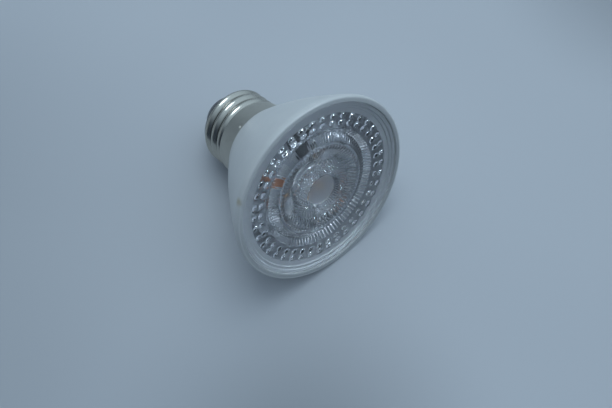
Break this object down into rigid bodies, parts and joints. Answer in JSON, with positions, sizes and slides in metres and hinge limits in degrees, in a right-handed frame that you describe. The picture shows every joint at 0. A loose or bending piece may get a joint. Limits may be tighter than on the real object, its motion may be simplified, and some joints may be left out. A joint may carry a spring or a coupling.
{
  "type": "led light bulb",
  "caption": "LED reflector lamp with a white tapered housing, a clear fluted lens over its board and a nickel-plated screw cap.",
  "frame": {"origin": "middle of the rim's flat front face, on the lamp's axis", "axes": "+Z along the lamp's axis from the face to the end contact, +X and +Y across the face"},
  "size_m": [0.063, 0.063, 0.0584],
  "materials": {
    "white_plastic": "satin moulded plastic",
    "clear_plastic": "clear moulded plastic",
    "nickel_plate": "nickel plate, lightly dulled",
    "dark_insulator": "dark moulded insulator",
    "brass": "plain",
    "tinned_metal": "tinned",
    "sink_aluminium": "plain sheet",
    "board_white": "white solder mask on a metal core",
    "led_body": "white moulded package",
    "phosphor": "yellow silicone fill",
    "chip_black": "black moulded body",
    "capacitor_brown": "brown ceramic body",
    "lead_red": "insulated wire",
    "lead_bare": "insulated wire",
    "resistor_green": "lacquered body"
  },
  "bodies": {
    "root": {"housing": "white_plastic", "lens": "clear_plastic", "screw_shell": "nickel_plate", "cap_insulator": "dark_insulator", "centre_contact": "brass", "contact_pin": "tinned_metal", "heat_sink": "sink_aluminium", "led_board": "board_white", "led_packages": "led_body", "led_phosphors": "phosphor", "driver_chips": "chip_black", "rectifier": "chip_black", "chip_legs": "tinned_metal", "chip_resistors": "chip_black", "ceramic_capacitors": "capacitor_brown", "chip_terminals": "tinned_metal", "solder_joints": "tinned_metal", "live_lead": "lead_red", "neutral_lead": "lead_bare", "fusible_resistor": "resistor_green"}
  },
  "joints": []
}
